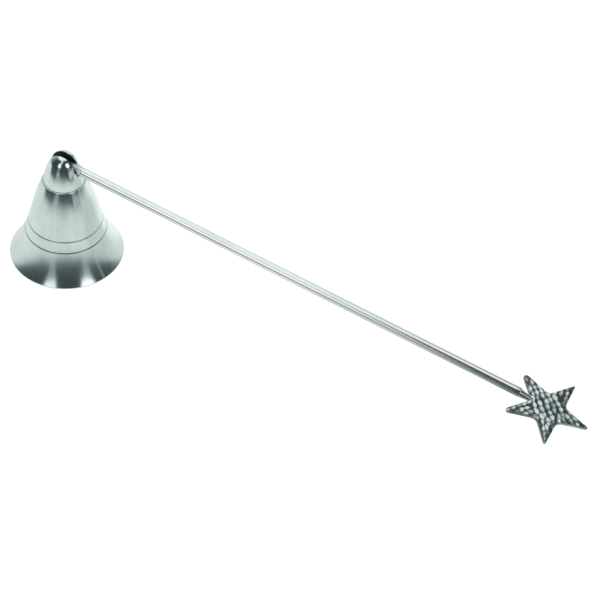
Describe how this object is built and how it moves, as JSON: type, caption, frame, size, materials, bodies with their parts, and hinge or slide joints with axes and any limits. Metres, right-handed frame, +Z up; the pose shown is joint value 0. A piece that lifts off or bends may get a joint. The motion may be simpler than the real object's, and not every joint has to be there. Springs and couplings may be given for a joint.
{
  "type": "candle snuffer",
  "caption": "Turned aluminium bell with a slotted egg-shaped knob, and a slim round handle that swings on a cross pin and ends in a hammered star.",
  "frame": {"origin": "centre of the bell's mouth, on the flat rim that it stands on", "axes": "+Z up the bell's axis, +X along the handle towards the star"},
  "size_m": [0.2691, 0.05, 0.0566],
  "materials": {
    "satin_bell": "satin polished",
    "polished_knob": "polished",
    "polished_rod": "mirror polished",
    "antiqued_star": "cast, hammered and antiqued",
    "steel_fastener": "plain"
  },
  "bodies": {
    "bell": {"bell_cup": "satin_bell", "pivot_knob": "polished_knob", "knob_screw": "steel_fastener", "crown_washer": "steel_fastener", "pivot_pin": "polished_knob"},
    "handle": {"handle_rod": "polished_rod", "star_finial": "antiqued_star"}
  },
  "joints": [
    {"name": "handle_pivot", "type": "hinge", "parent": "bell", "child": "handle", "pos_m": [0, 0, 0.05204], "axis": [0, -1, 0], "range_deg": [0, 202.5]}
  ]
}
